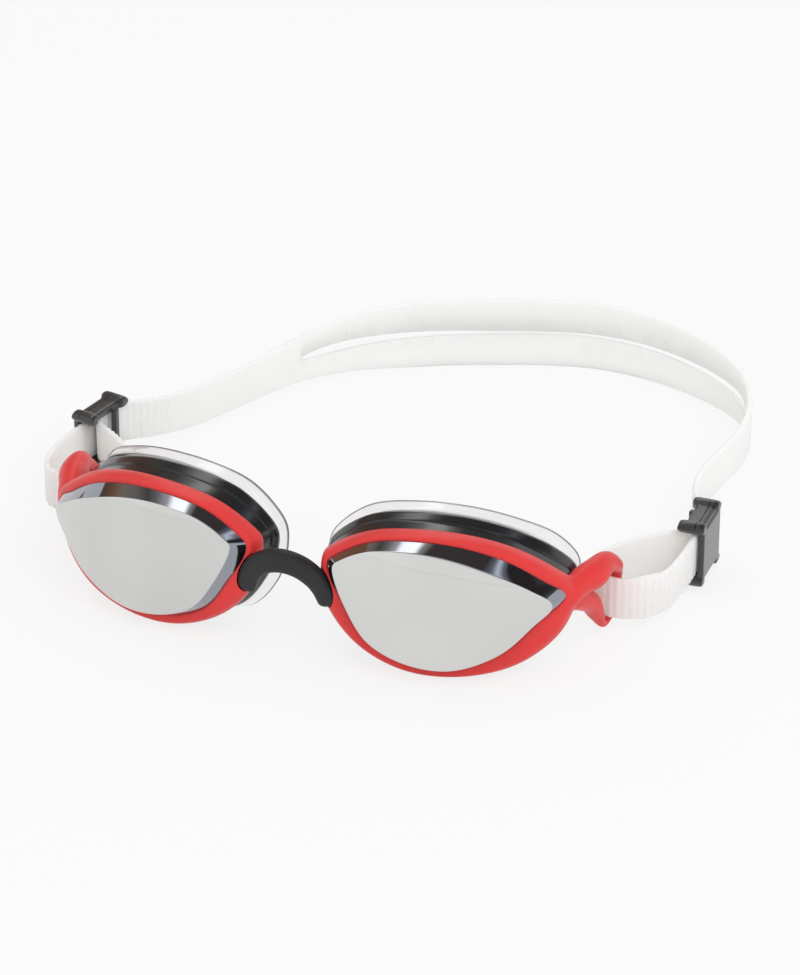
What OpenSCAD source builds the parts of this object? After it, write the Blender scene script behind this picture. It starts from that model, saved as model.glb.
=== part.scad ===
// Swim goggles: mirrored lenses in red rims, dark cups, clear soft seals and a split silicone strap.
// Millimetres, +Z up, front towards -Y. Left and right are the wearer's, so left is at +X.
// The goggles lie on a table at z = 0, on the strap's lower strand and the foot of each eyepiece.

/* [Eyepieces] */
// Length of a lens from its inner to its outer corner
lens_w = 61.8; // [58:0.2:66]
// Height of a lens
lens_h = 36.5; // [33:0.5:40]
// Distance of each eyepiece's middle from the symmetry plane
pod_x = 44; // [42.5:0.1:46]
// Turn of the outer end towards the back
pod_yaw = 13; // [10:0.5:16]
// Lean of the top towards the back
pod_pitch = 7.5; // [5:0.5:10]
// Rise of the outer end
pod_roll = 6; // [4:0.5:8]
// How far the lens corners lie behind its middle
lens_bow = 4.6; // [3.6:0.1:5.6]
// Extra wrap of the outer corner round the face
lens_wrap = 3.5; // [2.5:0.1:4.5]
// Height of the lens face in front of its edge
face_rise = 4.4; // [3.6:0.1:5.2]
// Doming of the lens face
face_crown = 0.8; // [0.4:0.1:1.2]
// Lens wall thickness
lens_t = 1.8; // [1.4:0.1:2.2]
// Depth of the lens edge that the rim holds
lens_edge = 1.4; // [1:0.1:2]
// Depth of the rim band
rim_depth = 5.2; // [4.4:0.1:6]
// Depth of the cup's wall behind the rim, up to its ridge
wall_depth = 3.6; // [3:0.1:4.4]
// Depth of the cup's flange behind the ridge
flange_depth = 3.2; // [2.6:0.1:4]
// Thickness of the cup's flange at its edge
flange_t = 0.9; // [0.7:0.1:1.2]
// Depth of the soft seal behind the flange
seal_depth = 4; // [3:0.1:5]

/* [Nose bridge] */
// Height of the bridge band
bridge_h = 6.4; // [5.4:0.1:7.2]
// Thickness of the bridge band
bridge_t = 3.8; // [3:0.1:4.4]
// Rise of the arch over its ends
bridge_rise = 10.4; // [8.4:0.1:12.4]
// Bow of the arch in front of its ends
bridge_bow = 2.1; // [1.2:0.1:3]

/* [Strap ears] */
// Reach of an ear behind the rim's outer corner
ear_l = 24; // [22.5:0.1:26]
// Distance of the ear's back bar outside of that corner
ear_out = 2.6; // [1.6:0.1:3.6]
// Thickness of the back bar
bar_d = 3.2; // [2.6:0.1:3.6]

/* [Strap] */
// Width of a single run of strap
strap_w = 12; // [10:0.1:13]
// Strap thickness
strap_t = 1.5; // [1.2:0.1:1.8]
// Width over both strands at the back of the head
split_w = 21.2; // [19:0.1:24]
// Widest gap between the strands
split_gap = 4.2; // [3:0.1:5]
// Least gap between the strands
slit_gap = 1.2; // [0.8:0.1:1.6]
// Reach of the strap behind the buckles, round the back of the head
back_reach = 91.4; // [86:0.2:96]

/* [Buckles] */
// Length of a buckle along the strap
buckle_l = 17; // [15:0.5:19]
// Height of the rails above and below the strap
rail_h = 2.3; // [1.8:0.1:2.8]
// Wall thickness of a buckle
buckle_t = 1.8; // [1.4:0.1:2.2]
// Width of the post behind the strap's inner layer
post_w = 1.8; // [1.4:0.1:2.2]

/* [Clearances] */
// Gap between pieces that are seated in each other
seat_gap = 0.2; // [0.15:0.05:0.3]
// Gap between the strap and what it runs through
strap_gap = 0.3; // [0.25:0.05:0.4]

/* [Hidden] */
// Start of the strap's way round the head, behind the eyepieces' reference plane
back_start = 87;
// Distance of the lens faces in front of that plane, and from the plane back to the origin at half the depth
face_front = 7.95;
origin_y = (back_start + back_reach + strap_t / 2 - face_front) / 2;
// Points per stretch of an outline and of the strap
steps = 4;
strap_steps = 3;
// Half the reference length and height of a lens, for the bow of its surface and the fits round it
half_w = 30.9;
half_h = 18;
eye_scale = [lens_w / 61.8, lens_h / 36.5];
// Extra bow of the lens surface over its height, and spread of the outer end towards the back
lens_arch = 1.15;
end_spread = 0.15;
// Middle of the outlines below, in the eyepiece's own plane: first outwards, then up
eye_mid = [-1, -3];

// Edge of the raised lens face
face_line = spline([for (p = [[-29.6, 7.6], [-26.8, 10.9], [-18.5, 13.6], [-7, 13.3], [3.5, 10.8],
    [13, 6.6], [21.5, 1.4], [26.8, -4], [21.4, -9], [12.4, -15.9], [-0.2, -19.9],
    [-12.1, -18.1], [-21.9, -12.1], [-27, -2.4]]) fit(p)]);
// Outer edge of the lens
lens_line = spline([for (p = [[-32, 7], [-29, 10.8], [-19, 14.8], [-7, 15.1], [5, 13],
    [16, 8.4], [25, 1.4], [29.8, -4], [22.6, -10], [13.2, -17.4], [0, -21.6],
    [-12.9, -19.8], [-23.5, -13.2], [-29, -2.5]]) fit(p)]);
// Outer edge of the rim, wide below the outer corner and where the bridge is seated
rim_line = spline([for (p = [[-33.6, 7.5], [-30.3, 12.2], [-19.5, 16.5], [-7, 17.1], [6, 15.2],
    [17.4, 10.7], [26.8, 3.3], [32, -4], [27.4, -14.4], [16, -21.8], [1, -24.3],
    [-14, -22.3], [-26.2, -15], [-33.4, -3.8]]) fit(p)]);
// Outer edge of the soft seal
seal_line = spline([for (p = [[-34.6, 5], [-31.5, 12.4], [-21, 19], [-7, 20], [6, 17.9],
    [17.5, 13.4], [27, 7], [32, -2.5], [26, -11.5], [14.5, -18.2], [0, -20.8],
    [-14, -20.2], [-26.8, -17.2], [-33.6, -6.6]]) fit(p)]);

// Shares of the lens outline at which its domed front and hollow back are drawn
face_steps = [0.4, 0.75, 0.98];
back_steps = [0.7, 0.4];
// Rounding between the lens face, its bevel and its edge, across and deep
face_round = 0.15;
edge_round = 0.3;
// Taper of the lens wall from its edge to its face
wall_draft = 0.98;
// Cross-section of the rim's rounded front: share of the way out and depth
rim_front = [[0.35, -0.5], [0.75, -0.15], [1, 1.5]];
// Rounding of the rim's back edge, across and deep
rim_back = [0.25, 1.4];
// Reach of the cup's lip, ridge and flange from the lens outline, at 0, to the seal's outline, at 1
lip_out = 0.14;
ridge_out = 0.3;
ridge_step = 0.1;
flange_out = 0.62;
// Wall of the cup at its corners
cup_t = 1.9;
// Cross-section of the seal: share of its outline and share of its depth
seal_section = [[1, 0.25], [1, 0.55], [0.98, 0.85], [0.94, 1], [0.9, 0.9], [0.87, 0.5]];
// Depths of the cup's lip, its ridge and its back, and of the seal's front, behind the lens edge
lip_depth = rim_depth + seat_gap;
ridge_depth = lip_depth + wall_depth;
cup_depth = ridge_depth + flange_depth;
seal_front = cup_depth + seat_gap;

// Height of each eyepiece's middle, so that its lowest edge lies on the table
pod_z = -min([for (p = rim_line, w = [rim_front[2][1], rim_depth - rim_back[1]]) on_pod(p, w).z,
    for (p = seal_line) on_pod(p, seal_front + seal_depth).z]);
// Height of the strap's centre line, so that its lower strand lies on the table
strap_z = split_w / 2;

// Seat of each end of the bridge in the rim: place in the eyepiece's plane and depth
bridge_seat = [-32.8, -3];
bridge_end = in_pod(fit(bridge_seat), 1.1);
// Centre line of the bridge from its middle to an end, as shares of the way out, of the bow and of the rise
bridge_line = [[0, 1, 1], [0.4, 0.92, 0.91], [0.72, 0.6, 0.65], [0.9, 0.24, 0.33], [1, 0, 0]];
// Narrowing of the band towards its ends, squareness of its section and stations of its rounded ends
bridge_taper = 0.18;
bridge_square = 0.6;
bridge_tip = [35, 65, 85];

// Outer corner of the rim, and the ear's back bar where it crosses the strap
corner = in_pod(rim_line[7 * steps], rim_depth / 2);
bar = [corner.x + ear_out, corner.y + ear_l, strap_z];
// Route of the ear on each rim, from the rim's outer corner up over the strap, down behind it and back
// under it: share of the way from corner to bar, part of the strap's half width, offset and radius
ear_points = [[0, 0, [-4, -4.5, -5.6], 2.9], [0, 0, [-2.1, -2.4, -1.8], 3.3], [0, 0, [-0.4, 3, 0.2], 3.7],
    [0.3, 0, [0.9, 1.6, 4.1], 4], [0.6, 0.6, [1.1, 0.5, 4.5], 2.9], [1, 1, [0.9, -3.6, 3.3], 2.1],
    [1, 1, [0.4, -0.6, 0.5], bar_d / 2], [1, 0.4, [0, 0, 0], bar_d / 2], [1, -0.5, [-0.6, 0, -0.2], bar_d / 2],
    [1, -1, [-0.8, -1, -0.7], 1.2], [1, -1, [-1.1, -6.2, -1.7], 1], [0.78, -0.8, [-1.8, -3.9, -0.6], 2.3],
    [0.5, -0.4, [-1.8, -0.8, -1.4], 3], [0.1, 0, [-2.4, 1, -4], 3.3], [0, 0, [-4, -2.2, -5.2], 3.2]];
ear_route = [for (e = ear_points)
    concat(mix(corner, bar, e[0]) + [0, 0, e[1] * strap_w / 2] + e[2], [e[3]])];

// Buckles: distance out and back from the ear's bar, middle in plan and turn of the rear end towards the head
left_buckle_off = [12.9, 31.4];
right_buckle_off = [11.7, 28.9];
left_buckle_at = [bar.x + left_buckle_off.x, bar.y + left_buckle_off.y];
left_buckle_turn = -1;
right_buckle_at = [-bar.x - right_buckle_off.x, bar.y + right_buckle_off.y];
right_buckle_turn = -12;
// Half the height between the rails
rail_z = strap_w / 2 + strap_gap;
// Round lobe at each end of a rail, and how far the rail is set in from it on the inner and outer side
lobe_d = rail_h + 1;
rail_in = 1.4;
rail_out = 0.6;
// Place of the post behind the middle of a buckle
post_at = 2.2;
// Parting groove along the buckle's edges
groove = [0.3, 0.4];
// Distance of each of the two strap layers from the middle of a buckle
layer = (strap_t + strap_gap) / 2;
// Inner half width of the channel of a buckle
channel = layer + strap_t / 2 + strap_gap;

// Reach of the straight strap in front of a buckle and behind it
run_in = 3.5;
run_out = 0.5;
// Stations of the strap's folded end and of its main run along a buckle, from its middle
tail_stations = [5, -3, -buckle_l / 2 - run_in];
left_stations = [-2, 3, buckle_l / 2 + run_out];
right_stations = [buckle_l / 2 + run_out, 3, -1];
// Centre line of the strap in plan: its loop round each ear, from the ear's bar, and its way round the head
left_loop = [for (p = [[13.7, 11], [12.8, 4.4], [9.4, -1.6], [3.8, -4.5], [-1.2, -4.7], [-5, -4],
    [-7.4, -1], [-7.4, 4], [-5, 10.6], [-0.4, 17], [4.4, 21.8], [8.3, 25.4]]) [bar.x + p.x, bar.y + p.y]];
right_loop = [for (p = [[-10.2, 25], [-4.6, 21], [0.4, 16.8], [5.4, 10.8], [7.6, 4], [7.4, -1],
    [5, -3.8], [1.2, -4.5], [-3.8, -5.2], [-10, -5], [-14.2, -1], [-15.8, 7]])
    [p.x - bar.x, bar.y + p.y]];
back_line = [for (p = [[83.6, 0.5], [80.8, 7], [80, 17], [81.4, 30], [82.6, 43], [80.6, 57], [73.8, 70.5],
    [60.5, 81.5], [42, 89.5], [24.8, 91.4], [9.5, 88.4], [-4.3, 83.3], [-17.9, 77.7], [-30.8, 70.4],
    [-42.5, 60.5], [-52.4, 46.2], [-60.1, 27.8], [-68, 10.6], [-76.4, -0.4]])
    [p.x, back_start + p.y * back_reach / 91.4]];
strap_route = concat(
    [for (a = tail_stations) on_left_buckle(a, layer)], left_loop,
    [for (a = left_stations) on_left_buckle(a, -layer)], back_line,
    [for (a = right_stations) on_right_buckle(a, layer)], right_loop,
    [for (i = [2:-1:0]) on_right_buckle(tail_stations[i], -layer)]);
// The split runs between the sixth and the sixteenth point of the back line
split_points = [5, 15];
lead = len(tail_stations) + len(left_loop) + len(left_stations);
split_from = (lead + split_points[0]) * strap_steps;
split_to = (lead + split_points[1]) * strap_steps;
// Stations from the ends of the split over which the strap grows wide and narrow again
widen = [-5, 11];
narrow = [-8, 4];

// Fits an outline point to the driven lens size.
function fit(p) = [p.x * eye_scale.x, p.y * eye_scale.y];
// Blends two points.
function mix(a, b, m) = a + (b - a) * m;
// One point between b and c of a smooth curve through a, b, c and d.
function curve(a, b, c, d, t) =
    0.5 * (2 * b + (c - a) * t + (2 * a - 5 * b + 4 * c - d) * t * t + (3 * b - a - 3 * c + d) * t * t * t);
// Smooth closed curve through points p.
function spline(p) = let (n = len(p))
    [for (i = [0:n - 1], k = [0:steps - 1])
        curve(p[(i + n - 1) % n], p[i], p[(i + 1) % n], p[(i + 2) % n], k / steps)];
// Smooth open curve through points p.
function open_spline(p, s) = let (n = len(p))
    concat([for (i = [0:n - 2], k = [0:s - 1])
        curve(p[max(i - 1, 0)], p[i], p[i + 1], p[min(i + 2, n - 1)], k / s)], [p[n - 1]]);
// Eases from 0 to 1 as x goes from a to b.
function ease(a, b, x) = let (t = min(1, max(0, (x - a) / (b - a)))) t * t * (3 - 2 * t);

// A point of an eyepiece from its middle: p in its plane and w behind its lens edge.
function on_pod(p, w) = let (
    bow = lens_bow * pow(p.x / half_w, 2) + lens_arch * pow(p.y / half_h, 2),
    wrap = lens_wrap * pow(max(p.x, 0) / half_w, 3) + end_spread * w * max(p.x, 0) / half_w,
    d = bow + wrap + w,
    u = p.x * cos(pod_roll) - p.y * sin(pod_roll),
    v = p.x * sin(pod_roll) + p.y * cos(pod_roll),
    up = v * cos(pod_pitch) - d * sin(pod_pitch),
    back = v * sin(pod_pitch) + d * cos(pod_pitch))
    [u * cos(pod_yaw) - back * sin(pod_yaw), u * sin(pod_yaw) + back * cos(pod_yaw), up];
// The same point on the table.
function in_pod(p, w) = [pod_x, 0, pod_z] + on_pod(p, w);
// One ring of an eyepiece: outlines a and b blended by m, scaled by k, at depth w.
function ring(a, b, m, k, w) =
    [for (i = [0:len(a) - 1]) in_pod(eye_mid + k * (mix(a[i], b[i], m) - eye_mid), w)];
// Depth of the domed lens face at share k of its outline, over a face that rises by h.
function face_at(k, h) = -h - face_crown * (1 - k * k);

// Point of a buckle's channel in plan: a along it towards the back, c across it.
function in_channel(at, turn, a, c) =
    at + a * [sin(-turn), cos(turn)] + c * [cos(turn), sin(turn)];
function on_left_buckle(a, c) = in_channel(left_buckle_at, -left_buckle_turn, a, c);
function on_right_buckle(a, c) = in_channel(right_buckle_at, right_buckle_turn, a, c);

// Moves a piece from the eyepieces' reference plane to the part's origin.
module placed() {
    translate([0, -origin_y, 0]) children();
}

// Puts a piece of the left eyepiece on the wearer's right.
module opposite() {
    mirror([1, 0, 0]) children();
}

// Solid between rings that close on themselves, as a hoop of one cross-section.
module hoop(rings) {
    n = len(rings[0]);
    m = len(rings);
    polyhedron([for (r = rings) each r],
        [for (j = [0:m - 1], i = [0:n - 1])
            [j * n + i, (j + 1) % m * n + i, (j + 1) % m * n + (i + 1) % n, j * n + (i + 1) % n]]);
}

// Solid between a stack of rings, closed by a point in front and a point behind.
module domed(front, rings, back) {
    n = len(rings[0]);
    m = len(rings);
    polyhedron(concat([front], [for (r = rings) each r], [back]),
        concat([for (i = [0:n - 1]) [0, 1 + i, 1 + (i + 1) % n]],
            [for (j = [0:m - 2], i = [0:n - 1])
                [1 + j * n + i, 1 + (j + 1) * n + i, 1 + (j + 1) * n + (i + 1) % n, 1 + j * n + (i + 1) % n]],
            [for (i = [0:n - 1]) [1 + m * n, 1 + (m - 1) * n + (i + 1) % n, 1 + (m - 1) * n + i]]));
}

// Mirrored lens: a raised face, a bevel down to its edge and a hollow back.
module lens() {
    inner = face_rise - lens_t;
    wall = 1 - lens_t / half_w;
    domed(in_pod(eye_mid, face_at(0, face_rise)),
        concat([for (k = face_steps) ring(face_line, lens_line, 0, k, face_at(k, face_rise))],
            [ring(face_line, lens_line, face_round, 1, edge_round - face_rise),
                ring(lens_line, lens_line, 0, 1, -edge_round), ring(lens_line, lens_line, 0, 1, lens_edge),
                ring(lens_line, lens_line, 0, wall, lens_edge),
                ring(face_line, lens_line, face_round, wall * wall_draft, edge_round - inner)],
            [for (k = back_steps) ring(face_line, lens_line, 0, k, face_at(k, inner))]),
        in_pod(eye_mid, face_at(0, inner)));
}

// Strap ear: a round bar along its route, thick at the front arm.
module ear() {
    route = open_spline(concat(ear_route, [ear_route[0]]), 2);
    for (i = [0:len(route) - 2])
        hull()
            for (e = [route[i], route[i + 1]])
                translate([e.x, e.y, e.z]) sphere(e[3], $fn = 12);
}

// Room for the lens and the cup in the ear, with twice the gap all round.
module core() {
    clear = 1 + 2 * seat_gap / half_h;
    step = rim_depth - seat_gap;
    domed(in_pod(eye_mid, -2 * face_rise),
        [ring(lens_line, seal_line, 0, clear, -2 * face_rise), ring(lens_line, seal_line, 0, clear, step),
            ring(lens_line, seal_line, lip_out, clear, step),
            ring(lens_line, seal_line, ridge_out, clear, ridge_depth - seat_gap),
            ring(lens_line, seal_line, 1, clear, cup_depth - flange_t),
            ring(lens_line, seal_line, 1, clear, 2 * cup_depth)],
        in_pod(eye_mid, 2 * cup_depth));
}

// Rim band round the lens with the strap ear, notched for the end of the bridge.
module rim() {
    bore = 1 + seat_gap / half_h;
    difference() {
        union() {
            hoop(concat([ring(lens_line, rim_line, 0, bore, rim_front[1][1])],
                [for (f = rim_front) ring(lens_line, rim_line, f[0], 1, f[1])],
                [ring(lens_line, rim_line, 1, 1, rim_depth - rim_back[1]),
                    ring(lens_line, rim_line, 1 - rim_back[0], 1, rim_depth),
                    ring(lens_line, rim_line, 0, bore, rim_depth)]));
            difference() {
                ear();
                core();
            }
        }
        bridge_band(2 * seat_gap);
    }
}

// Dark cup: a sleeve inside the rim, a wall that flares to the ridge and a flange for the seal.
module cup() {
    front = lens_edge + seat_gap;
    sleeve = 1 - seat_gap / half_h;
    wall = 1 - (seat_gap + cup_t) / half_w;
    hoop([ring(lens_line, seal_line, 0, sleeve, front), ring(lens_line, seal_line, 0, sleeve, lip_depth),
        ring(lens_line, seal_line, lip_out, 1, lip_depth), ring(lens_line, seal_line, ridge_out, 1, ridge_depth),
        ring(lens_line, seal_line, ridge_out + ridge_step, 1, ridge_depth + edge_round),
        ring(lens_line, seal_line, flange_out, 1, cup_depth - flange_t),
        ring(lens_line, seal_line, flange_out, 1, cup_depth),
        ring(lens_line, seal_line, ridge_out, wall, cup_depth), ring(lens_line, seal_line, 0, wall, ridge_depth),
        ring(lens_line, seal_line, 0, wall, front)]);
}

// Soft seal: a rounded cushion behind the flange, open towards the eye.
module seal() {
    inside = seal_section[3][0];
    hoop(concat([ring(seal_line, lens_line, 1 - flange_out + ridge_step, inside, seal_front),
            ring(seal_line, lens_line, ridge_step, 1, seal_front)],
        [for (c = seal_section) ring(seal_line, lens_line, 0, c[0], seal_front + c[1] * seal_depth)]));
}

// Arched band of the nose bridge with rounded ends that turn down into the rims, grown by g on every side.
module bridge_band(g) {
    sides = 12;
    half = [for (c = bridge_line)
        [c.x * bridge_end.x, bridge_end.y - c.y * bridge_bow, bridge_end.z + c.z * bridge_rise]];
    n = len(half);
    line = open_spline([for (i = [1 - n:n - 1]) [sign(i) * half[abs(i)].x, half[abs(i)].y, half[abs(i)].z]], 3);
    last = len(line) - 1;
    // Each station: place, direction and share of the full section
    run = [for (i = [0:last]) let (d = line[min(i + 1, last)] - line[max(i - 1, 0)])
        [line[i], d / norm(d), 1 - bridge_taper * pow(2 * i / last - 1, 2)]];
    tip = function (at, way, t) [at[0] + way * at[1] * (bridge_t / 2 + g) * sin(t), at[1], at[2] * cos(t)];
    stations = concat([for (k = [len(bridge_tip) - 1:-1:0]) tip(run[0], -1, bridge_tip[k])], run,
        [for (t = bridge_tip) tip(run[last], 1, t)]);
    points = [for (s = stations) let (
        across = [0, 1, 0] - s[1] * s[1].y,
        b = across / norm(across),
        h = cross(s[1], b))
        for (k = [0:sides - 1]) let (t = 360 * k / sides)
            s[0] + s[2] * ((bridge_t / 2 + g) * sign(cos(t)) * pow(abs(cos(t)), bridge_square) * b
                + (bridge_h / 2 + g) * sign(sin(t)) * pow(abs(sin(t)), bridge_square) * h)];
    m = len(stations) - 1;
    polyhedron(points, concat([[for (k = [0:sides - 1]) k]],
        [for (i = [0:m - 1], k = [0:sides - 1])
            [i * sides + k, (i + 1) * sides + k, (i + 1) * sides + (k + 1) % sides, i * sides + (k + 1) % sides]],
        [[for (k = [sides - 1:-1:0]) m * sides + k]]));
}

// One length of strap along its route, with a slit between its two strands at the back.
module strap_band() {
    line = open_spline(strap_route, strap_steps);
    n = len(line);
    points = [for (i = [0:n - 1]) let (
        along = line[min(i + 1, n - 1)] - line[max(i - 1, 0)],
        side = [along.y, -along.x] / norm(along) * strap_t / 2,
        grow = ease(split_from + widen[0], split_from + widen[1], i)
            * (1 - ease(split_to + narrow[0], split_to + narrow[1], i)),
        half = (strap_w + (split_w - strap_w) * grow) / 2,
        f = abs(2 * min(1, max(0, (i - split_from) / (split_to - split_from))) - 1),
        slit = (slit_gap + (split_gap - slit_gap) * pow(f, 1.5) * (1 - pow(f, 14))) / 2)
        for (q = [side, -side], z = [-half, -slit, slit, half]) [line[i].x + q.x, line[i].y + q.y, strap_z + z]];
    split = function (i) i >= split_from && i < split_to;
    face = function (i, a, b) [8 * i + a, 8 * i + 8 + a, 8 * i + 8 + b, 8 * i + b];
    polyhedron(points, concat(
        [for (i = [0:n - 2], j = [0:2]) if (j != 1 || !split(i)) face(i, j + 1, j)],
        [for (i = [0:n - 2], j = [0:2]) if (j != 1 || !split(i)) face(i, 4 + j, 5 + j)],
        [for (i = [0:n - 2]) face(i, 0, 4)],
        [for (i = [0:n - 2]) face(i, 7, 3)],
        [for (i = [split_from:split_to - 1]) face(i, 5, 1)],
        [for (i = [split_from:split_to - 1]) face(i, 2, 6)],
        [[for (c = [1, 2, 6, 5]) 8 * split_from + c]],
        [[for (c = [5, 6, 2, 1]) 8 * split_to + c]],
        [for (j = [0:2]) [j + 4, j + 5, j + 1, j]],
        [for (j = [0:2], e = 8 * (n - 1)) [e + j, e + j + 1, e + j + 5, e + j + 4]]));
}

// Clip with an outer plate, a rail above and below the strap with a round lobe at each end,
// and a post behind the inner layer. It is drawn with its outer side at +X and its rear at +Y.
module buckle() {
    half = channel + buckle_t;
    lobe_y = (buckle_l - lobe_d) / 2;
    difference() {
        union() {
            translate([channel, -buckle_l / 2 + lobe_d / 4, -rail_z - rail_h / 2])
                cube([buckle_t, buckle_l - lobe_d / 2, 2 * rail_z + rail_h]);
            for (z = [-rail_z - rail_h, rail_z])
                translate([rail_in - half, -lobe_y, z]) cube([2 * half - rail_in - rail_out, 2 * lobe_y, rail_h]);
            for (z = [-1, 1], y = [-1, 1])
                translate([-half, y * lobe_y, z * (rail_z + lobe_d / 2)])
                    rotate([0, 90, 0]) cylinder(d = lobe_d, h = 2 * half, $fn = 24);
            translate([-half, post_at, -rail_z - rail_h / 2]) cube([buckle_t, post_w, 2 * rail_z + rail_h]);
        }
        translate([channel + (buckle_t - groove[0]) / 2, -lobe_y, rail_z + rail_h - groove[1]])
            cube([groove[0], 2 * lobe_y, rail_h]);
    }
}

module left_lens() { color("silver") placed() lens(); }
module right_lens() { color("silver") placed() opposite() lens(); }
module left_rim() { color("#e23c3c") placed() rim(); }
module right_rim() { color("#e23c3c") placed() opposite() rim(); }
module left_cup() { color("#2a2a2c") placed() cup(); }
module right_cup() { color("#2a2a2c") placed() opposite() cup(); }
module left_seal() { color("#e8eaea") placed() seal(); }
module right_seal() { color("#e8eaea") placed() opposite() seal(); }
module nose_bridge() { color("#343436") placed() bridge_band(0); }
module strap() { color("#f0efec") placed() strap_band(); }
module left_buckle() {
    color("#1c1c1e") placed()
        translate([left_buckle_at.x, left_buckle_at.y, strap_z]) rotate([0, 0, -left_buckle_turn]) buckle();
}
module right_buckle() {
    color("#1c1c1e") placed()
        translate([right_buckle_at.x, right_buckle_at.y, strap_z]) rotate([0, 0, right_buckle_turn])
            opposite() buckle();
}

left_lens();
right_lens();
left_rim();
right_rim();
left_cup();
right_cup();
left_seal();
right_seal();
nose_bridge();
strap();
left_buckle();
right_buckle();
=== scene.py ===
"""Swim goggles: smooth mouldings, mirrored lenses, clear seals and a ribbed split strap.

Sizes are in millimetres, in the frame's own axes: +Z up, the front towards -Y and the wearer's left at +X.
"""
import logging
import math
from dataclasses import dataclass, field
from enum import Enum
from typing import Callable, Sequence

import bmesh
import bpy
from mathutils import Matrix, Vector


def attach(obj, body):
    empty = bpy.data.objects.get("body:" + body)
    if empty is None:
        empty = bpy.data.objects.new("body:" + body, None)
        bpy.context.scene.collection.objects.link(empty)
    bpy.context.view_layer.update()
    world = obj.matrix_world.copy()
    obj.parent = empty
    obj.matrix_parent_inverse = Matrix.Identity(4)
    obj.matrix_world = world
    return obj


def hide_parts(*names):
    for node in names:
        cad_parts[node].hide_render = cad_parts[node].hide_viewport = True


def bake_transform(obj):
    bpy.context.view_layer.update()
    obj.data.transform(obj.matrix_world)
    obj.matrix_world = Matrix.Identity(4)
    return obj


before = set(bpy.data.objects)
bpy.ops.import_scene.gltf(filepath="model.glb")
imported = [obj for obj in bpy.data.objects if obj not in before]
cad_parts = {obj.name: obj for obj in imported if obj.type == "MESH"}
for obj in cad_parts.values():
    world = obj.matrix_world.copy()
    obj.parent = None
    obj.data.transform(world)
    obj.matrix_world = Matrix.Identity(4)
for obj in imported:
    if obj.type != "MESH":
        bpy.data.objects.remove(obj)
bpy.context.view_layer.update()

LOG = logging.getLogger("goggles")
MM = 0.001
# Distance in millimetres at which doubles merge, steps of a rounded edge and share of a smoothing pass.
MERGE = 0.0005
EDGE_STEPS = 4
SMOOTHING = 0.5
Points = list[Vector]
Colour = tuple[float, float, float]
Tree = bpy.types.NodeTree
Socket = bpy.types.NodeSocket


class Side(Enum):
    """The wearer's side of the head, as the sign of X."""

    LEFT = 1
    RIGHT = -1

    @property
    def word(self) -> str:
        """The side's name in piece names."""
        return self.name.lower()

    @property
    def eyepiece(self) -> str:
        """The body that this side's eyepiece rides on."""
        return f"{self.word}_eyepiece"


class Surface(Enum):
    """Small-scale look of a surface: noise scale per metre, bump depth in metres, roughness spread."""

    POLISHED = (700.0, 0.0, 0.015)
    SMOOTH = (1400.0, 0.000004, 0.05)
    SATIN = (5200.0, 0.000012, 0.07)
    MATT = (4200.0, 0.00002, 0.09)


def curve_point(a: Vector, b: Vector, c: Vector, d: Vector, t: float) -> Vector:
    """Gives one point between b and c of a smooth curve through four points.

    Args:
        a: Point before the stretch.
        b: Start of the stretch.
        c: End of the stretch.
        d: Point after the stretch.
        t: Share of the stretch, from 0 to 1.

    Returns:
        The point on the curve.
    """
    square, cube = 2 * a - 5 * b + 4 * c - d, 3 * b - a - 3 * c + d
    return 0.5 * (2 * b + (c - a) * t + square * t * t + cube * t ** 3)


def closed_curve(points: Points, steps: int) -> Points:
    """Draws a smooth closed curve.

    Args:
        points: Points that the curve passes through.
        steps: Points per stretch.

    Returns:
        The curve's points, the first not repeated.
    """
    n = len(points)
    return [curve_point(points[i - 1], points[i], points[(i + 1) % n], points[(i + 2) % n], k / steps)
            for i in range(n) for k in range(steps)]


def open_curve(points: Points, steps: int) -> Points:
    """Draws a smooth open curve.

    Args:
        points: Points that the curve passes through.
        steps: Points per stretch.

    Returns:
        The curve's points, with both ends.
    """
    held = [points[0], *points, points[-1]]
    line = [curve_point(*held[i:i + 4], k / steps) for i in range(len(points) - 1) for k in range(steps)]
    return line + [points[-1]]


def soften(profile: Sequence[Sequence[float]], share: float, arc: int = 3) -> list[tuple[float, ...]]:
    """Rounds the corners of a closed profile.

    Args:
        profile: Corner values, of any number of components.
        share: Share of each side that a corner's rounding takes, under a half.
        arc: Steps per corner.

    Returns:
        The rounded profile.
    """
    n = len(profile)
    out: list[tuple[float, ...]] = []
    for i, corner in enumerate(profile):
        before, after = profile[i - 1], profile[(i + 1) % n]
        for k in range(arc + 1):
            t = k / arc
            out.append(tuple(
                (1 - t) ** 2 * (c + (b - c) * share) + 2 * t * (1 - t) * c + t * t * (c + (a - c) * share)
                for b, c, a in zip(before, corner, after)))
    return out


def ease(start: float, end: float, x: float) -> float:
    """Eases from 0 to 1 as x goes from start to end."""
    t = min(1.0, max(0.0, (x - start) / (end - start)))
    return t * t * (3 - 2 * t)


def spread(exponent: float, angle: float) -> tuple[float, float]:
    """Gives a point of a rounded square of half side 1.

    Args:
        exponent: 1 for a circle, less for a squarer form.
        angle: Direction in radians.

    Returns:
        Cosine-like and sine-like values.
    """
    c, s = math.cos(angle), math.sin(angle)
    return math.copysign(abs(c) ** exponent, c), math.copysign(abs(s) ** exponent, s)


def put(name: str, data: bpy.types.ID) -> bpy.types.Object:
    """Adds an object to the scene.

    Args:
        name: Name of the object.
        data: Its mesh, lamp or camera.

    Returns:
        The new object, at the origin.
    """
    made = bpy.data.objects.new(name, data)
    bpy.context.scene.collection.objects.link(made)
    return made


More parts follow.
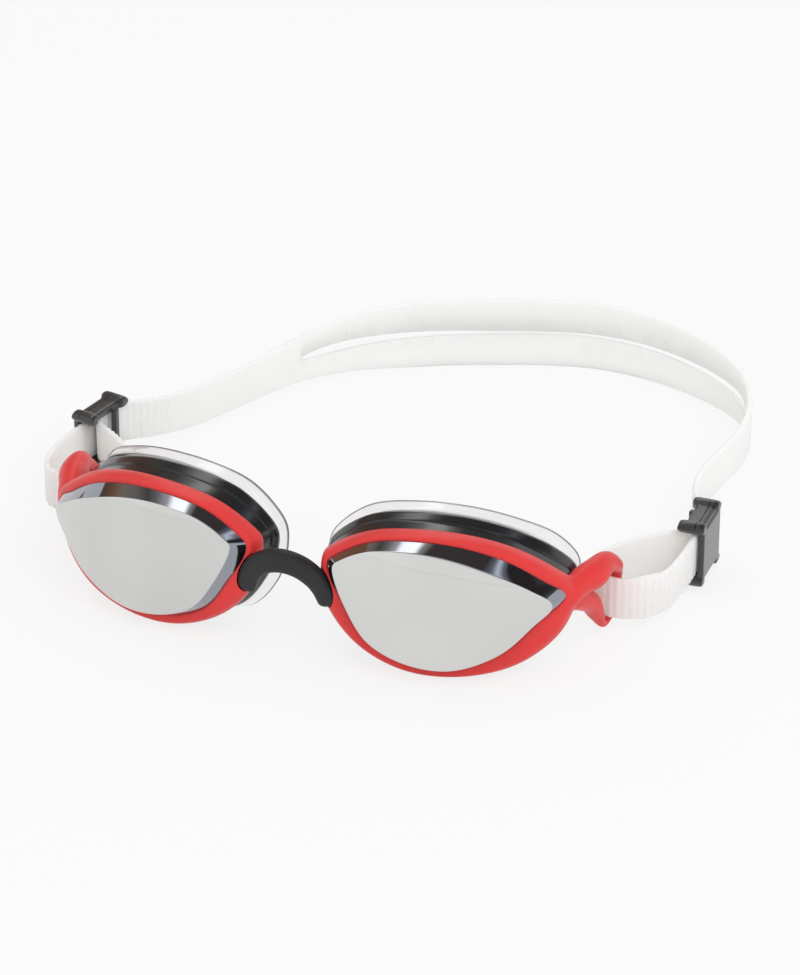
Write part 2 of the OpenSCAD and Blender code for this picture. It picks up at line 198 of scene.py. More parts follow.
def put_mesh(name: str, bm: bmesh.types.BMesh) -> bpy.types.Object:
    """Ends the work on a mesh and adds it to the scene.

    Args:
        name: Name of the object.
        bm: Mesh under work, which is freed.

    Returns:
        The new object, at the origin.
    """
    mesh = bpy.data.meshes.new(name)
    bm.to_mesh(mesh)
    bm.free()
    return put(name, mesh)


class Skin:
    """A mesh under work, with lengths in millimetres until it becomes an object."""

    def __init__(self) -> None:
        """Starts with no geometry."""
        self.bm = bmesh.new()

    def lattice(self, rows: Sequence[Points], close_rows: bool = False,
                coat: Sequence[float] | None = None) -> None:
        """Adds a skin through rings of points, from a grid whose vertices move to the rings.

        Args:
            rows: Rings with equal numbers of points.
            close_rows: True where the last ring joins the first, as on a hoop; else both ends get a cap.
            coat: One value per ring for the attribute of the same name, which marks where a darker shade is
                painted.
        """
        rings = [list(ring) + [ring[0]] for ring in rows]
        if close_rows:
            rings.append(rings[0])
        else:
            first, last = (sum(r, Vector((0, 0, 0))) / len(r) for r in (rows[0], rows[-1]))
            rings = [[first] * len(rings[0])] + rings + [[last] * len(rings[0])]
        layer = self.bm.verts.layers.float.new("coat") if coat else None
        across = len(rings[0])
        grid = bmesh.ops.create_grid(self.bm, x_segments=across - 1, y_segments=len(rings) - 1, size=1.0)
        for vert, place in zip(grid["verts"], (p for ring in rings for p in ring)):
            vert.co = place
        if coat:
            values = [*coat, coat[0]] if close_rows else [coat[0], *coat, coat[-1]]
            for i, vert in enumerate(grid["verts"]):
                vert[layer] = values[i // across]
        bmesh.ops.remove_doubles(self.bm, verts=grid["verts"], dist=MERGE)
        self.face_out()

    def face_out(self) -> None:
        """Turns all faces outwards."""
        self.bm.normal_update()
        bmesh.ops.recalc_face_normals(self.bm, faces=self.bm.faces)

    def block(self, low: Vector, high: Vector, edge: float) -> None:
        """Adds a box with rounded edges.

        Args:
            low: Lowest corner.
            high: Highest corner.
            edge: Radius of the edges.
        """
        made = bmesh.ops.create_cube(self.bm, size=1.0)["verts"]
        bmesh.ops.scale(self.bm, verts=made, vec=high - low)
        bmesh.ops.translate(self.bm, verts=made, vec=(low + high) / 2)
        edges = list({e for v in made for e in v.link_edges})
        bmesh.ops.bevel(self.bm, geom=edges, offset=edge, segments=EDGE_STEPS, profile=0.5, affect="EDGES",
                        material=-1)

    def piece(self, name: str, turn: Callable[[Vector], Vector] | None = None) -> bpy.types.Object:
        """Ends the work on the mesh.

        Args:
            name: Name of the new object.
            turn: Moves each point to its final place, where the mesh was made elsewhere.

        Returns:
            The object, at the origin, in metres and smooth.
        """
        if turn:
            for vert in self.bm.verts:
                vert.co = turn(vert.co)
            self.face_out()
        bmesh.ops.scale(self.bm, verts=self.bm.verts, vec=(MM, MM, MM))
        for face in self.bm.faces:
            face.smooth = True
        return put_mesh(name, self.bm)


def settle(made: bpy.types.Object) -> None:
    """Puts the result of an object's modifiers into its mesh.

    Args:
        made: Object whose modifiers are all applied.
    """
    graph = bpy.context.evaluated_depsgraph_get()
    done = bpy.data.meshes.new_from_object(made.evaluated_get(graph))
    old = made.data
    made.modifiers.clear()
    made.data = done
    bpy.data.meshes.remove(old)
    done.name = made.name
    for face in done.polygons:
        face.use_smooth = True


def fuse(made: bpy.types.Object, voxel: float, passes: int,
         soft: Callable[[Vector], int] | None = None) -> None:
    """Turns crossing shells into one moulded skin with filleted joins.

    Args:
        made: Object with closed shells.
        voxel: Size of the new faces in millimetres.
        passes: Smoothing passes all over.
        soft: Gives the further passes at a point in millimetres, for the fillets.
    """
    remesh = made.modifiers.new("Fuse", "REMESH")
    remesh.mode = "VOXEL"
    remesh.voxel_size = voxel * MM
    settle(made)
    bm = bmesh.new()
    bm.from_mesh(made.data)
    extra = {v: soft(v.co / MM) for v in bm.verts} if soft else {}
    for step in range(passes + max(extra.values(), default=0)):
        verts = [v for v in bm.verts if step < passes + extra.get(v, 0)]
        bmesh.ops.smooth_vert(bm, verts=verts, factor=SMOOTHING,
                              use_axis_x=True, use_axis_y=True, use_axis_z=True)
    for face in bm.faces:
        face.smooth = True
    bm.to_mesh(made.data)
    bm.free()


def cut(made: bpy.types.Object, tool: bpy.types.Object) -> None:
    """Takes one solid out of another.

    Args:
        made: Object that keeps its place.
        tool: Object that is taken out and deleted.
    """
    blade = made.modifiers.new("Cut", "BOOLEAN")
    blade.operation = "DIFFERENCE"
    blade.solver = "EXACT"
    blade.object = tool
    settle(made)
    bpy.data.objects.remove(tool)


def join(made: bpy.types.Object, other: bpy.types.Object) -> None:
    """Adds another object's mesh to an object's own, and deletes the other.

    Args:
        made: Object that keeps its place.
        other: Object whose shells are added.
    """
    bm = bmesh.new()
    bm.from_mesh(made.data)
    bm.from_mesh(other.data)
    bm.to_mesh(made.data)
    bm.free()
    bpy.data.objects.remove(other)


def colour_ramp(tree: Tree, value: Socket, stops: Sequence[tuple[float, Sequence[float]]]) -> Socket:
    """Turns a value into a colour.

    Args:
        tree: Node tree that gets the ramp.
        value: Socket with the value.
        stops: Place and colour of each stop, in order.

    Returns:
        The socket with the colour.
    """
    made = tree.nodes.new("ShaderNodeValToRGB")
    elements = made.color_ramp.elements
    for at, _ in stops[1:-1]:
        elements.new(at)
    for element, (at, tint) in zip(elements, stops):
        element.position = at
        element.color = (*tint, 1)
    tree.links.new(value, made.inputs["Fac"])
    return made.outputs["Color"]


@dataclass(frozen=True)
class Finish:
    """One finish: its slot's name and the constants of its shader."""

    slot: str
    colour: Colour
    roughness: float
    surface: Surface
    metallic: float = 0.0
    transmission: float = 0.0
    ior: float = 1.5
    coat: float = 0.0
    coat_roughness: float = 0.05
    subsurface: float = 0.0
    scatter: Colour = (0.002, 0.0018, 0.0015)
    absorb: float = 0.0
    depth_colour: Colour = (0.5, 0.49, 0.5)
    mottle: float = 0.04
    cloud: float = 90.0

    MOTTLE_STOPS = (0.3, 0.7)
    MOTTLE_DETAIL = 2.0
    GRAIN_DETAIL = 4.0

    def material(self) -> bpy.types.Material:
        """Builds the node material, with a little mottle, roughness spread and bump on object coordinates.

        Returns:
            The material, shared by all pieces of this finish.
        """
        name = f"{self.slot}_finish"
        if name in bpy.data.materials:
            return bpy.data.materials[name]
        made = bpy.data.materials.new(name)
        made.use_nodes = True
        nodes, links = made.node_tree.nodes, made.node_tree.links
        shader = nodes["Principled BSDF"]
        for socket, value in (("Metallic", self.metallic), ("IOR", self.ior), ("Coat Weight", self.coat),
                              ("Transmission Weight", self.transmission),
                              ("Coat Roughness", self.coat_roughness),
                              ("Subsurface Weight", self.subsurface)):
            shader.inputs[socket].default_value = value
        if self.subsurface:
            shader.inputs["Subsurface Radius"].default_value = self.scatter
            shader.inputs["Subsurface Scale"].default_value = 1.0
        if self.absorb:
            deep = nodes.new("ShaderNodeVolumeAbsorption")
            deep.inputs["Color"].default_value = (*self.depth_colour, 1)
            deep.inputs["Density"].default_value = self.absorb
            links.new(deep.outputs[0], nodes["Material Output"].inputs["Volume"])
        scale, depth, band = self.surface.value
        place = nodes.new("ShaderNodeTexCoord")
        grain = nodes.new("ShaderNodeTexNoise")
        grain.inputs["Scale"].default_value = scale
        grain.inputs["Detail"].default_value = self.GRAIN_DETAIL
        links.new(place.outputs["Object"], grain.inputs["Vector"])
        rough = nodes.new("ShaderNodeMapRange")
        rough.inputs["To Min"].default_value = max(0.0, self.roughness - band)
        rough.inputs["To Max"].default_value = self.roughness + band
        links.new(grain.outputs["Fac"], rough.inputs["Value"])
        links.new(rough.outputs["Result"], shader.inputs["Roughness"])
        self.paint(made.node_tree, place.outputs["Object"], shader.inputs["Base Color"])
        if depth:
            bump = nodes.new("ShaderNodeBump")
            bump.inputs["Distance"].default_value = depth
            links.new(grain.outputs["Fac"], bump.inputs["Height"])
            links.new(bump.outputs["Normal"], shader.inputs["Normal"])
        return made

    def paint(self, tree: Tree, place: Socket, colour: Socket) -> None:
        """Colours the finish, with a faint mottle.

        Args:
            tree: The material's nodes.
            place: Socket with object coordinates.
            colour: The shader's colour socket.
        """
        tree.links.new(self.tint(tree, place), colour)

    def tint(self, tree: Tree, place: Socket) -> Socket:
        """Mottles the finish's colour; on the lens the mottle is a painted uneven reflection.

        Args:
            tree: The material's nodes.
            place: Socket with object coordinates.

        Returns:
            The socket with the colour.
        """
        cloud = tree.nodes.new("ShaderNodeTexNoise")
        cloud.inputs["Scale"].default_value = self.cloud
        cloud.inputs["Detail"].default_value = self.MOTTLE_DETAIL
        tree.links.new(place, cloud.inputs["Vector"])
        tints = [[min(1.0, c * (1 + d)) for c in self.colour] for d in (-self.mottle, self.mottle)]
        return colour_ramp(tree, cloud.outputs["Fac"], list(zip(self.MOTTLE_STOPS, tints)))

    def dress(self, made: bpy.types.Object, *nodes: str) -> bpy.types.Object:
        """Gives a piece this finish and hides the solids that it stands for.

        Args:
            made: The piece.
            nodes: Names of the solids that it replaces.

        Returns:
            The same piece.
        """
        made.data.materials.clear()
        made.data.materials.append(self.material())
        if nodes:
            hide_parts(*nodes)
        LOG.info("%s: %d faces, %s", made.name, len(made.data.polygons), self.slot)
        return made


@dataclass(frozen=True)
class PaintedShadeFinish(Finish):
    """A finish with a darker colour painted along a piece's edge, which its own attribute marks: painted
    shade for the lens bevel's darker reflection and for the seal's dark outline.
    """

    # The edge colour is painted shade, laid where the coat attribute is high.
    edge: Colour = (0.3, 0.31, 0.35)

    EDGE_STOPS = ((0.2, (0, 0, 0)), (0.8, (1, 1, 1)))

    def paint(self, tree: Tree, place: Socket, colour: Socket) -> None:
        """Colours the finish by the piece's attribute, which lays the painted edge shade.

        Args:
            tree: The material's nodes.
            place: Socket with object coordinates.
            colour: The shader's colour socket.
        """
        # The coat attribute marks where painted shade goes, not a coating.
        coat = tree.nodes.new("ShaderNodeAttribute")
        coat.attribute_name = "coat"
        both = tree.nodes.new("ShaderNodeMixRGB")
        tree.links.new(colour_ramp(tree, coat.outputs["Fac"], self.EDGE_STOPS), both.inputs["Fac"])
        tree.links.new(self.tint(tree, place), both.inputs["Color1"])
        both.inputs["Color2"].default_value = (*self.edge, 1)
        tree.links.new(both.outputs["Color"], colour)


# Mirror lens: the default edge colour paints its bevel, edge and back darker as painted shade for their
# darker reflection, and its mottle is a painted uneven reflection on the face.
MIRROR_COAT = PaintedShadeFinish("lens", (0.645, 0.643, 0.632), 0.03, Surface.POLISHED, metallic=1.0,
                         mottle=0.06, cloud=26.0)
RED_MOULDING = Finish("rim", (0.72, 0.04, 0.038), 0.38, Surface.SMOOTH, ior=1.38, mottle=0.03)
DARK_CUP = Finish("cup", (0.014, 0.014, 0.016), 0.2, Surface.POLISHED, coat=0.2)
# Clear seal: its edge colour is a painted dark outline along the outer wall, standing in for the dark edge
# that refraction shows.
CLEAR_SILICONE = PaintedShadeFinish("seal", (0.965, 0.955, 0.958), 0.04, Surface.POLISHED, transmission=1.0,
                            ior=1.38, absorb=40.0, mottle=0.01, edge=(0.2, 0.2, 0.21))
CHARCOAL_RUBBER = Finish("bridge", (0.018, 0.018, 0.02), 0.5, Surface.MATT, ior=1.38)
MILKY_SILICONE = Finish("strap", (0.9, 0.885, 0.848), 0.42, Surface.SMOOTH, subsurface=1.0,
                        scatter=(0.006, 0.0056, 0.005), mottle=0.012)
SATIN_BLACK = Finish("buckle", (0.01, 0.01, 0.011), 0.36, Surface.SATIN, coat=0.8, coat_roughness=0.3)


@dataclass
class Eyepiece:
    """One eyepiece: lens, rim with its strap ear, cup and seal."""

    side: Side
    pod_x: float = 44.0
    yaw: float = 13.0
    pitch: float = 7.5
    roll: float = 6.0
    lens_bow: float = 4.6
    lens_wrap: float = 3.5
    lens_arch: float = 1.15
    end_spread: float = 0.15
    half_w: float = 30.9
    half_h: float = 18.0
    face_rise: float = 4.4
    face_crown: float = 0.8
    lens_t: float = 1.8
    lens_edge: float = 1.4
    bevel_drop: float = 0.955
    arris: float = 0.03
    rim_depth: float = 5.2
    rim_front: float = 1.5
    rim_back: float = 1.4
    wall_depth: float = 3.6
    flange_depth: float = 3.2
    flange_t: float = 0.9
    seal_depth: float = 4.0
    cup_t: float = 1.9
    lip_out: float = 0.14
    lip_in: float = 0.35
    ridge_out: float = 0.3
    flange_out: float = 0.62
    seat_gap: float = 0.2
    ear_l: float = 24.0
    ear_out: float = 2.6
    bar_d: float = 3.2
    strap_w: float = 12.0
    strap_z: float = 10.6
    origin_y: float = 85.6
    steps: int = 10
    mid: Vector = field(default_factory=lambda: Vector((-1.0, -3.0)))
    pod_z: float = 0.0

    # Outlines outwards and up from the middle, each with its outer corner at the same place in its list.
    FACE = ((-29.6, 7.6), (-26.8, 10.9), (-18.5, 13.6), (-7, 13.3), (3.5, 10.8), (13, 6.6), (21.5, 1.4),
            (26.8, -4), (21.4, -9), (12.4, -15.9), (-0.2, -19.9), (-12.1, -18.1), (-21.9, -12.1),
            (-27, -2.4))
    LENS = ((-32, 7), (-29, 10.8), (-19, 14.8), (-7, 15.1), (5, 13), (16, 8.4), (25, 1.4),
            (29.8, -4), (22.6, -10), (13.2, -17.4), (0, -21.6), (-12.9, -19.8), (-23.5, -13.2), (-29, -2.5))
    RIM = ((-33.6, 7.5), (-30.2, 11.9), (-19.4, 16), (-7, 16.5), (5.9, 14.6), (17.2, 10.2), (26.7, 3.1),
           (32, -4), (27.4, -14.4), (16, -21.8), (1, -24.3), (-14, -22.3), (-26.2, -15), (-33.4, -3.8))
    SEAL = ((-34.6, 5), (-31.5, 12.4), (-21, 19), (-7, 20), (6, 17.9), (17.5, 13.4), (27, 7),
            (32, -2.5), (26, -11.5), (14.5, -18.2), (0, -20.8), (-14, -20.2), (-26.8, -17.2), (-33.6, -6.6))
    OUTER = 7
    # Rings of the lens, as shares of its face, bevel, edge and back.
    FACE_SHARES = (0.08, 0.2, 0.35, 0.5, 0.65, 0.78, 0.88, 0.95, 0.985)
    BEVEL_SHARES = (0, 0.03, 0.06, 0.12, 0.35, 0.6, 0.85, 0.95)
    EDGE_SHARES = (0, 0.3, 0.95, 1)
    BACK_TURN = (0.15, 0.98, 0.3)
    BACK_SHARES = (0.9, 0.7, 0.4, 0.1)
    LENS_SEAT = 0.8
    # Share of the painted bevel shade at the arris row.
    ARRIS_PAINTED_SHADE = 0.4
    # The rim's section as blend, scale and depth, and the skins' voxel size with its smoothing passes.
    RIM_NOSE = ((0.35, 1, -0.55), (0.75, 1, -0.15))
    RIM_LIP = 0.5
    RIM_HEEL = 0.75
    RIM_STEPS = 4
    RIM_FUSE = (0.25, 3)
    EAR_STEPS = 6
    EAR_SIDES = 24
    EAR_FUSE = (0.3, 1)
    EAR_ROOT = (-1, 1, -3)
    FILLET_PASSES = 30
    FILLET_REACH = (4.0, 13.0)
    # Sections of the cup and the seal, as blends, scales and shares of their depth.
    RIDGE_STEP = (0.1, 0.3)
    CUP_ROUNDING = 0.2
    SEAL_ROOT = (1.1, 0.94)
    SEAL_SHOULDER = 0.3
    SEAL_SECTION = ((0.95, 0.2), (0.97, 0.55), (0.987, 0.82), (0.977, 0.97), (0.94, 1), (0.9, 0.9),
                    (0.87, 0.5))
    SEAL_ROUNDING = 0.38
    # Scale and depth share beyond which the seal's rings get the painted dark outline.
    SEAL_PAINTED_OUTLINE = (0.955, 0.7)

    def __post_init__(self) -> None:
        """Draws the outlines and sets the eyepiece on the table."""
        self.face, self.lens, self.rim, self.seal = (
            closed_curve([Vector(p) for p in line], self.steps)
            for line in (self.FACE, self.LENS, self.RIM, self.SEAL))
        full = (self.rim_front, self.rim_depth - self.rim_back)
        low = [self.on_pod(p, w).z for p in self.rim for w in full]
        low += [self.on_pod(p, self.seal_front + self.seal_depth).z for p in self.seal]
        self.pod_z = -min(low)

    @property
    def lip(self) -> float:
        """Depth of the cup's lip behind the lens edge."""
        return self.rim_depth + self.seat_gap

    @property
    def ridge(self) -> float:
        """Depth of the cup's ridge."""
        return self.lip + self.wall_depth

    @property
    def cup_back(self) -> float:
        """Depth of the back of the cup's flange."""
        return self.ridge + self.flange_depth

    @property
    def seal_front(self) -> float:
        """Depth of the seal's front."""
        return self.cup_back + self.seat_gap

    def on_pod(self, p: Vector, w: float) -> Vector:
        """Places a point of the left eyepiece from its middle.

        Args:
            p: Point in the eyepiece's plane, outwards and up.
            w: Depth behind the lens edge.

        Returns:
            The point, with the middle at the table's height.
        """
        out = max(p.x, 0.0) / self.half_w
        d = (self.lens_bow * (p.x / self.half_w) ** 2 + self.lens_arch * (p.y / self.half_h) ** 2
             + self.lens_wrap * out ** 3 + self.end_spread * w * out + w)
        yaw, pitch, roll = (math.radians(a) for a in (self.yaw, self.pitch, self.roll))
        u = p.x * math.cos(roll) - p.y * math.sin(roll)
        v = p.x * math.sin(roll) + p.y * math.cos(roll)
        up = v * math.cos(pitch) - d * math.sin(pitch)
        back = v * math.sin(pitch) + d * math.cos(pitch)
        return Vector((u * math.cos(yaw) - back * math.sin(yaw),
                       u * math.sin(yaw) + back * math.cos(yaw), up))

    def place(self, p: Vector, w: float) -> Vector:
        """Places a point of the left eyepiece in the frame, with the same arguments as on_pod."""
        return self.on_pod(p, w) + Vector((self.pod_x, -self.origin_y, self.pod_z))

    def ring(self, a: Points, b: Points, m: float, k: float, w: float) -> Points:
        """Gives one ring of the eyepiece.

        Args:
            a: First outline.
            b: Second outline.
            m: Blend from the first to the second.
            k: Scale about the eyepiece's middle.
            w: Depth behind the lens edge.

        Returns:
            The ring's points.
        """
        return [self.place(self.mid + (p.lerp(q, m) - self.mid) * k, w) for p, q in zip(a, b)]

    def to_side(self, p: Vector) -> Vector:
        """Mirrors a point of the left eyepiece to this side."""
        return Vector((p.x * self.side.value, p.y, p.z))

    def hoop(self, name: str, a: Points, b: Points, profile: Sequence[Sequence[float]],
             coat: Sequence[float] | None = None) -> bpy.types.Object:
        """Makes a closed hoop from a profile of blend, scale and depth.

        Args:
            name: Name of the piece.
            a: First outline.
            b: Second outline.
            profile: Values of m, k and w for each ring.
            coat: One value per ring for the attribute of the same name, which marks where a darker shade is
                painted.

        Returns:
            The new object.
        """
        skin = Skin()
        skin.lattice([self.ring(a, b, m, k, w) for m, k, w in profile], True, coat)
        return skin.piece(name, self.to_side)

    def face_depth(self, k: float, rise: float) -> float:
        """Gives the depth of a domed face at share k of its outline, where its edge rises by rise."""
        return -rise - self.face_crown * (1 - k * k)

    def bevel_depth(self, m: float) -> float:
        """Gives the depth of the lens bevel at share m of its width, a little rounded at the arris."""
        return -self.face_rise * (1 - self.bevel_drop * m) + self.arris * max(0.0, 1 - m / self.arris)

    def build_lens(self) -> bpy.types.Object:
        """Makes the mirrored lens: domed face, rounded arris, bevel, edge and hollow back.

        Returns:
            The finished lens.
        """
        inner = self.face_rise - self.lens_t
        wall = 1 - self.lens_t / self.half_w
        seat = 1 + self.LENS_SEAT * self.seat_gap / self.half_h
        blend, narrow, drop = self.BACK_TURN
        rows = [self.ring(self.face, self.lens, 0, k, self.face_depth(k, self.face_rise))
                for k in self.FACE_SHARES]
        plain = len(rows)
        rows += [self.ring(self.face, self.lens, m, 1, self.bevel_depth(m)) for m in self.BEVEL_SHARES]
        rows += [self.ring(self.lens, self.lens, 0, seat, self.lens_edge * t) for t in self.EDGE_SHARES]
        rows += [self.ring(self.lens, self.lens, 0, wall, self.lens_edge),
                 self.ring(self.face, self.lens, blend, wall * narrow, drop - inner)]
        rows += [self.ring(self.face, self.lens, 0, k, self.face_depth(k, inner)) for k in self.BACK_SHARES]
        skin = Skin()
        # The coat values paint the bevel, edge and back darker as painted shade for their darker reflection;
        # the face stays unpainted.
        skin.lattice(rows, coat=[0.0] * plain + [self.ARRIS_PAINTED_SHADE] + [1.0] * (len(rows) - plain - 1))
        made = skin.piece(f"{self.side.word}_mirror_lens", self.to_side)
        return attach(MIRROR_COAT.dress(made, f"{self.side.word}_lens"), self.side.eyepiece)

    def ear_route(self) -> Points:
        """Gives the strap ear's route, from the rim's outer corner over, behind and under the strap.

        Returns:
            Points of four values: place and radius.
        """
        corner = self.corner
        bar = Vector((corner.x + self.ear_out, corner.y + self.ear_l, self.strap_z))
        r = self.bar_d / 2
        # Share of the way to the bar, share of the strap's half width, shift in x, y and z, and radius.
        stations = (
            (0, 0, -4, -4.3, -5.2, 2.2), (0, 0, -2.1, -2.4, -1.8, 3.2), (0, 0, -0.4, 3, 0.2, 3.7),
            (0.3, 0, 0.9, 1.6, 4.1, 4), (0.6, 0.6, 1.1, 0.5, 4.5, 2.9), (1, 1, 0.9, -3.6, 3.3, 2.1),
            (1, 1, 0.4, -0.6, 0.5, r), (1, 0.4, 0, 0, 0, r), (1, -0.5, -0.6, 0, -0.2, r),
            (1, -1, -0.8, -1, -0.7, 1.2), (1, -1, -1.1, -6.2, -1.7, 1),
            (0.78, -0.8, -1.8, -3.9, -0.6, 2.3), (0.5, -0.4, -1.8, -0.8, -1.4, 3),
            (0.1, 0, -2.4, 1, -4, 3.1), (0, 0, -4, -2.2, -4.9, 2.4))
        out = []
        for share, edge, x, y, z, radius in stations:
            at = corner.lerp(bar, share) + Vector((x, y, z + edge * self.strap_w / 2))
            out.append(Vector((*at, radius)))
        return out

    @property
    def corner(self) -> Vector:
        """Outer corner of the left rim."""
        return self.place(self.rim[self.OUTER * self.steps], self.rim_depth / 2)

    def core(self) -> bpy.types.Object:
        """Makes the room that the lens and the cup take up in the root of the ear.

        Returns:
            A solid to cut out of the ear.
        """
        clear = 1 + 2 * self.seat_gap / self.half_h
        step = self.rim_depth - self.seat_gap
        rows = [self.ring(self.lens, self.seal, m, clear, w) for m, w in (
            (0, -2 * self.face_rise), (0, step), (self.lip_out, step),
            (self.ridge_out, self.ridge - self.seat_gap), (1, self.cup_back - self.flange_t),
            (1, 2 * self.cup_back))]
        skin = Skin()
        skin.lattice(rows)
        return skin.piece(f"{self.side.word}_core", self.to_side)

    def build_rim(self, notch: bpy.types.Object) -> bpy.types.Object:
        """Makes the red rim as one moulding of band and strap ear, notched for the bridge.

        Args:
            notch: Solid that is cut out for the end of the bridge.

        Returns:
            The finished rim.
        """
        bore, hold = 1 + self.seat_gap / self.half_h, 1 - self.lip_in / self.half_h
        depth = self.rim_depth
        front = open_curve([Vector(values) for values in (
            (0, hold, -self.RIM_LIP), *self.RIM_NOSE, (1, 1, self.rim_front), (1, 1, depth - self.rim_back),
            (self.RIM_HEEL, 1, depth))], self.RIM_STEPS)
        profile = [tuple(p) for p in front]
        profile += [(0, bore, depth), (0, bore, depth / 2), (0, hold, self.RIM_LIP)]
        route = closed_curve(self.ear_route(), self.EAR_STEPS)
        rows = []
        for i, station in enumerate(route):
            along = (route[(i + 1) % len(route)] - route[i - 1]).xyz.normalized()
            across = (Vector((1, 0, 0)) - along * along.x).normalized()
            over = along.cross(across)
            rows.append([station.xyz + station.w * (across * math.cos(a) + over * math.sin(a))
                         for a in (math.tau * k / self.EAR_SIDES for k in range(self.EAR_SIDES))])
        ear = Skin()
        ear.lattice(rows, close_rows=True)
        loop = ear.piece(f"{self.side.word}_ear", self.to_side)
        fuse(loop, *self.EAR_FUSE)
        cut(loop, self.core())
        made = self.hoop(f"{self.side.word}_red_rim", self.lens, self.rim, profile)
        join(made, loop)
        root = self.to_side(self.corner + Vector(self.EAR_ROOT))

        def fillet(p: Vector) -> int:
            """Gives the smoothing passes near the root of the ear."""
            return int(self.FILLET_PASSES * (1 - ease(*self.FILLET_REACH, (p - root).length)))

        fuse(made, *self.RIM_FUSE, fillet)
        cut(made, notch)
        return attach(RED_MOULDING.dress(made, f"{self.side.word}_rim"), self.side.eyepiece)

    def build_cup(self) -> bpy.types.Object:
        """Makes the dark cup: sleeve, flaring wall, ridge and flange.

        Returns:
            The finished cup.
        """
        front = self.lens_edge + self.seat_gap
        sleeve = 1 - self.seat_gap / self.half_h
        wall = 1 - (self.seat_gap + self.cup_t) / self.half_w
        out, ridge = self.flange_out, self.ridge_out
        step_out, step_back = self.RIDGE_STEP
        profile = soften(((0, sleeve, front), (0, sleeve, self.lip), (self.lip_out, 1, self.lip),
                          (ridge, 1, self.ridge), (ridge + step_out, 1, self.ridge + step_back),
                          (out, 1, self.cup_back - self.flange_t), (out, 1, self.cup_back),
                          (ridge, wall, self.cup_back), (0, wall, self.ridge), (0, wall, front)),
                         self.CUP_ROUNDING)
        made = self.hoop(f"{self.side.word}_dark_cup", self.lens, self.seal, profile)
        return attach(DARK_CUP.dress(made, f"{self.side.word}_cup"), self.side.eyepiece)

    def build_seal(self) -> bpy.types.Object:
        """Makes the clear soft seal, rounded towards the face and open to the eye, with a painted dark
        outline on its outer wall.

        Returns:
            The finished seal.
        """
        front, deep = self.seal_front, self.seal_depth
        root, narrow = self.SEAL_ROOT
        profile = [(root - self.flange_out, narrow, front), (self.SEAL_SHOULDER, 1, front)]
        profile += [(0, k, front + t * deep) for k, t in self.SEAL_SECTION]
        profile = soften(profile, self.SEAL_ROUNDING)
        # Marks the outer rings towards the face for a painted dark outline, standing in for the dark edge
        # that refraction shows.
        wide, back = self.SEAL_PAINTED_OUTLINE
        dark = [float(k > wide and w > front + back * deep) for _, k, w in profile]
        made = self.hoop(f"{self.side.word}_clear_seal", self.seal, self.lens, profile, dark)
        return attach(CLEAR_SILICONE.dress(made, f"{self.side.word}_seal"), self.side.eyepiece)


@dataclass
class NoseBridge:
    """The soft arched band between the rims, with rounded ends that turn down into them."""

    end: Vector
    height: float = 6.4
    thickness: float = 3.8
    rise: float = 10.4
    bow: float = 2.1
    taper: float = 0.18
    squareness: float = 0.6
    soft_share: float = 0.85

    # Half the arch as shares of reach, bow and rise, and the rounding of its ends in degrees.
    LINE = ((0, 1, 1), (0.4, 0.92, 0.91), (0.72, 0.6, 0.65), (0.9, 0.24, 0.33), (1, 0, 0))
    TIP = (15, 30, 45, 60, 72, 82)
    STEPS = 8
    SIDES = 32

    def solid(self, name: str, growth: float = 0.0) -> bpy.types.Object:
        """Makes the band.

        Args:
            name: Name of the object.
            growth: Growth on every side, for the notches in the rims.

        Returns:
            The new object.
        """
        half = [Vector((x * self.end.x, self.end.y - b * self.bow, self.end.z + r * self.rise))
                for x, b, r in self.LINE]
        line = open_curve([Vector((-p.x, p.y, p.z)) for p in reversed(half[1:])] + half, self.STEPS)
        last = len(line) - 1
        run = []
        for i, p in enumerate(line):
            along = (line[min(i + 1, last)] - line[max(i - 1, 0)]).normalized()
            run.append((p, along, 1 - self.taper * (2 * i / last - 1) ** 2))
        reach = self.thickness / 2 + growth
        stations = [self.tip(run[0], -reach, t) for t in reversed(self.TIP)] + run
        stations += [self.tip(run[-1], reach, t) for t in self.TIP]
        rows = []
        for place, along, size in stations:
            deep = (Vector((0, 1, 0)) - along * along.y).normalized()
            tall = along.cross(deep)
            ring = []
            for k in range(self.SIDES):
                c, s = spread(self.squareness, math.tau * k / self.SIDES)
                ring.append(place + size * (deep * c * reach + tall * s * (self.height / 2 + growth)))
            rows.append(ring)
        skin = Skin()
        skin.lattice(rows)
        return skin.piece(name)

    @staticmethod
    def tip(at: tuple[Vector, Vector, float], reach: float, angle: float) -> tuple[Vector, Vector, float]:
        """Gives one station of a rounded end.

        Args:
            at: Last full station: place, direction and share of the section.
            reach: Length of the rounded end, negative at the start of the band.
            angle: Station of the rounding in degrees, up to 90.

        Returns:
            The new station.
        """
        t = math.radians(angle)
        return at[0] + at[1] * reach * math.sin(t), at[1], at[2] * math.cos(t)

    def build(self) -> bpy.types.Object:
        """Makes the finished bridge, arched between the eyepieces.

        Returns:
            The finished bridge.
        """
        made = CHARCOAL_RUBBER.dress(self.solid("charcoal_bridge"), "nose_bridge")
        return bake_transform(made)


